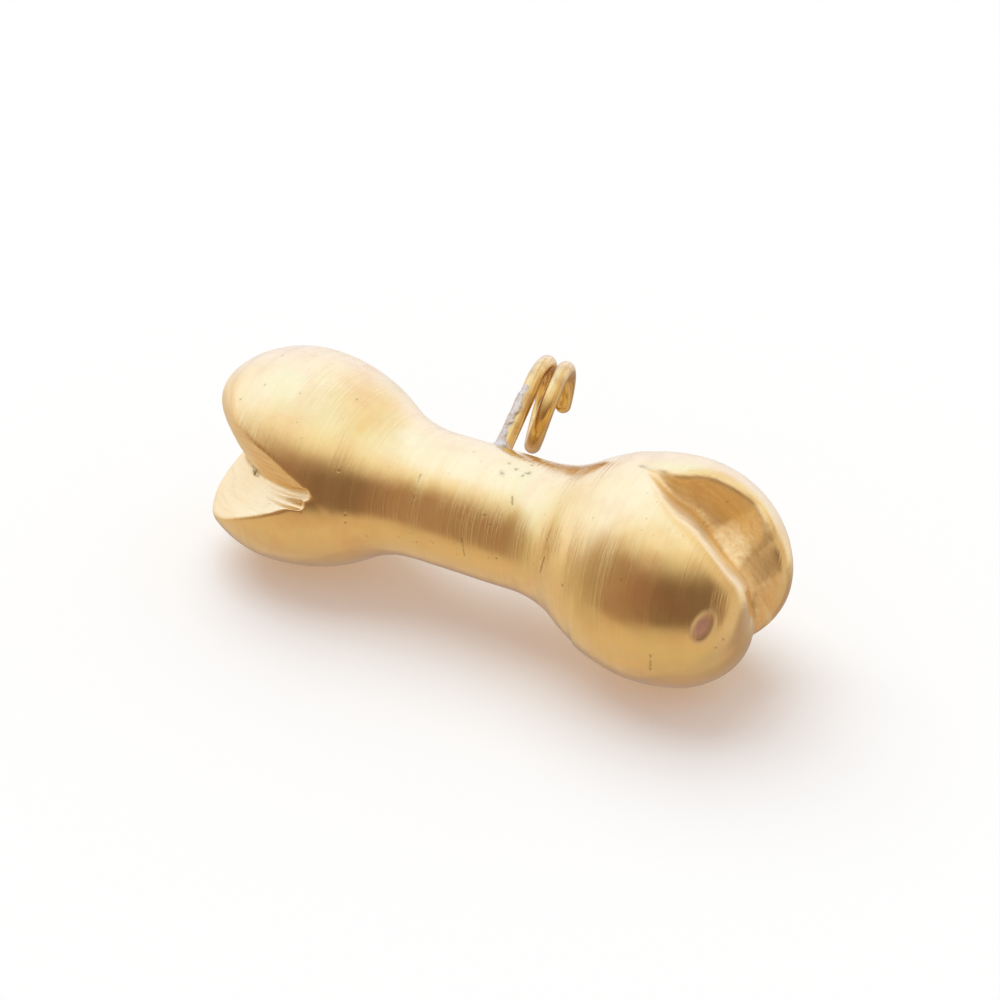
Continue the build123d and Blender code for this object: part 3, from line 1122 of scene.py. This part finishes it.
# The parts of the room with the degrees of turn from the viewer over which each comes in, and
# the edges of its dark front: turn at its left and right, elevation below, and elevation above
# where the edge falls towards the right by a tilt
ROOM_PARTS = [
    (ROOM_RIGHT, 35, 60), (ROOM_BEHIND_RIGHT, 86, 116), (ROOM_BEHIND, 146, 172),
    (ROOM_BEHIND_LEFT, -78, -104), (ROOM_BEHIND, -140, -168),
]
FRONT_LEFT = (-92, -62)
FRONT_RIGHT = (50, 30)
FRONT_LOW = (-35, -21)
FRONT_TOP = (43, 10)
FRONT_TILT = 0.12
ROOM_STRENGTH = 3.0
SKY_STRENGTH = 0.55

# The lamp's turn is from straight behind the charm, towards the left
LAMP_ENERGY = 1.63
LAMP_WIDTH = math.radians(60)
LAMP_TURN = math.radians(28)
LAMP_ASIDE = 0.5
LAMP_HEIGHT = 0.866

CAMERA_TURN = math.radians(32)
CAMERA_TILT = math.radians(30)
CAMERA_DISTANCE = 0.143
CAMERA_LENS = 102.96
CAMERA_SHIFT = (0.0167, 0.0106)


def make_floor():
    """A sheet of white paper, which the metal doesn't reflect."""
    clear_selection()
    bpy.ops.mesh.primitive_plane_add(size=FLOOR_SIZE, location=(0, 0, 0))
    floor = bpy.context.object
    floor.name = "floor"
    floor.visible_glossy = False
    material = bpy.data.materials.new("white_floor")
    material.use_nodes = True
    tree = material.node_tree
    tree.nodes.clear()
    paper = add_node(tree, "BsdfDiffuse", {"Color": FLOOR_PAPER}).outputs[0]
    glow = add_node(tree, "Emission", {"Color": FLOOR_GLOW}).outputs[0]
    both = add_node(tree, "AddShader", {0: paper, 1: glow}).outputs[0]
    add_node(tree, "OutputMaterial", {"Surface": both})
    floor.data.materials.append(material)


def make_camera():
    right = Vector((math.cos(CAMERA_TURN), math.sin(CAMERA_TURN), 0))
    back = Vector((
        math.cos(CAMERA_TILT) * math.sin(CAMERA_TURN),
        -math.cos(CAMERA_TILT) * math.cos(CAMERA_TURN),
        math.sin(CAMERA_TILT),
    ))
    up = back.cross(right)
    data = bpy.data.cameras.new("photo_camera")
    data.sensor_width = 36
    data.lens = CAMERA_LENS
    data.shift_x, data.shift_y = CAMERA_SHIFT
    data.clip_start = 0.01
    data.clip_end = 10
    camera = bpy.data.objects.new("photo_camera", data)
    turn = Matrix((right, up, back)).transposed().to_4x4()
    camera.matrix_world = Matrix.Translation(BONE_MIDDLE + back * CAMERA_DISTANCE) @ turn
    bpy.context.scene.collection.objects.link(camera)
    bpy.context.scene.camera = camera


def make_world():
    """White to the camera, a soft room to the metal, and a plain sky for the floor's shadow."""
    world = bpy.data.worlds.new("studio")
    bpy.context.scene.world = world
    world.use_nodes = True
    tree = world.node_tree
    tree.nodes.clear()
    coords = add_node(tree, "TexCoord").outputs["Generated"]

    def dot(direction):
        sockets = {0: coords, 1: direction}
        return add_node(tree, "VectorMath", sockets, operation="DOT_PRODUCT").outputs["Value"]

    def ramp(value, stops):
        """Colours by degrees from -90 to 90, at a share of their strength that a ramp can hold."""
        sockets = {"Value": value, "From Min": -90, "From Max": 90}
        share = add_node(tree, "MapRange", sockets).outputs["Result"]
        made = add_node(tree, "ValToRGB", {"Fac": share})
        elements = made.color_ramp.elements
        while len(elements) < len(stops):
            elements.new(1.0)
        for element, (at, colour) in zip(elements, stops):
            element.position = (at + 90) / 180
            element.color = (*(part / ROOM_STRENGTH for part in colour), 1)
        return made.outputs["Color"]

    front = dot((math.sin(CAMERA_TURN), -math.cos(CAMERA_TURN), 0))
    side = dot((math.cos(CAMERA_TURN), math.sin(CAMERA_TURN), 0))
    rise = dot((0, 0, 1))
    degrees = 180 / math.pi
    azimuth = calc(tree, "MULTIPLY", calc(tree, "ARCTAN2", side, front), degrees)
    elevation = calc(tree, "MULTIPLY", calc(tree, "ARCSINE", rise), degrees)
    room = ramp(elevation, ROOM_SIDES)
    for colours, start, end in ROOM_PARTS:
        room = blend(tree, remap(tree, azimuth, start, end), room, ramp(elevation, colours))
    tilted = calc(tree, "MULTIPLY_ADD", azimuth, FRONT_TILT, elevation)
    edges = remap(tree, azimuth, *FRONT_LEFT)
    for value, limits in ((azimuth, FRONT_RIGHT), (elevation, FRONT_LOW), (tilted, FRONT_TOP)):
        edges = calc(tree, "MULTIPLY", edges, remap(tree, value, *limits))
    room = blend(tree, edges, room, ramp(azimuth, ROOM_FRONT))

    def background(colour, strength):
        return add_node(tree, "Background", {"Color": colour, "Strength": strength}).outputs[0]

    def by_ray(kind, other, chosen):
        return add_node(tree, "MixShader", {0: light[kind], 1: other, 2: chosen}).outputs[0]

    light = add_node(tree, "LightPath").outputs
    plain = (1, 1, 1, 1)
    lit = by_ray("Is Glossy Ray", background(plain, SKY_STRENGTH), background(room, ROOM_STRENGTH))
    shown = by_ray("Is Camera Ray", lit, background(plain, 1.0))
    add_node(tree, "OutputWorld", {"Surface": shown})


def make_lamp():
    """One broad soft lamp high behind the charm, for the shadow that falls towards the viewer."""
    data = bpy.data.lights.new("back_light", "SUN")
    data.energy = LAMP_ENERGY
    data.angle = LAMP_WIDTH
    lamp = bpy.data.objects.new("back_light", data)
    away = CAMERA_TURN + LAMP_TURN
    towards = Vector((-math.sin(away) * LAMP_ASIDE, math.cos(away) * LAMP_ASIDE, LAMP_HEIGHT))
    lamp.rotation_euler = towards.to_track_quat("Z", "Y").to_euler()
    lamp.visible_glossy = False
    bpy.context.scene.collection.objects.link(lamp)


bpy.context.scene.view_settings.view_transform = "Standard"

groups = {
    "turned_lines": turned_lines_group(),
    "file_streaks": file_streaks_group(),
    "tarnish": tarnish_group(),
}
for piece, node, slot, material in (
    (make_bone(), "bone_body", "satin_brass", bone_metal(groups)),
    (make_eye(), "hanging_loop", "wire_brass", wire_metal(groups)),
    (make_solder(), "solder_fillet", "silver_solder", solder_metal(groups)),
):
    put_in_place(piece)
    piece.data.materials.clear()
    piece.data.materials.append(material)
    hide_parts(node)
    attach(piece, "root")

make_floor()
make_world()
make_lamp()
make_camera()

clear_selection()
